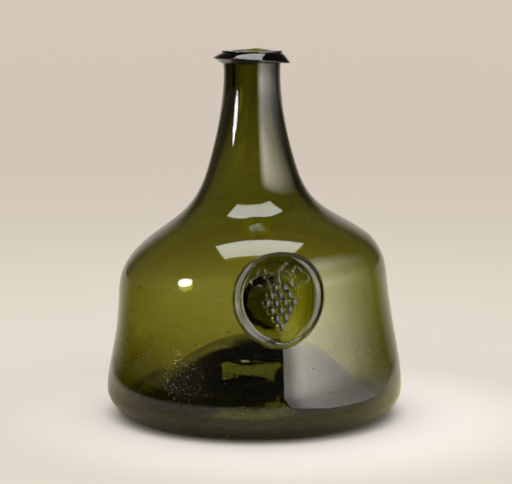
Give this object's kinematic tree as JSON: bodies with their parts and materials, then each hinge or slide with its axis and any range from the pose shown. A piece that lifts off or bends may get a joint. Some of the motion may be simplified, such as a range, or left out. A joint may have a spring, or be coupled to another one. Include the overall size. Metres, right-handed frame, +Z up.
{
  "type": "wine bottle",
  "caption": "Squat mallet-shaped wine bottle of dark green glass with a long tapering neck, a string rim, an applied round seal and a deep kick under the base.",
  "frame": {"origin": "the middle of the flat ring that the bottle stands on, at the floor", "axes": "+Z up along the neck, -Y towards the side with the seal, +X to the right of someone who looks at the seal"},
  "size_m": [0.1336, 0.1336, 0.1659],
  "materials": {
    "body_glass": "smooth and glossy, olive green, with small bubbles",
    "rim_glass": "smooth and glossy, nearly black where it is thick",
    "seal_glass": "glossy, slightly uneven from the stamp",
    "scar_glass": "rough where the glass tore off"
  },
  "bodies": {
    "root": {"bottle_body": "body_glass", "string_rim": "rim_glass", "seal": "seal_glass", "pontil_scar": "scar_glass"}
  },
  "joints": []
}
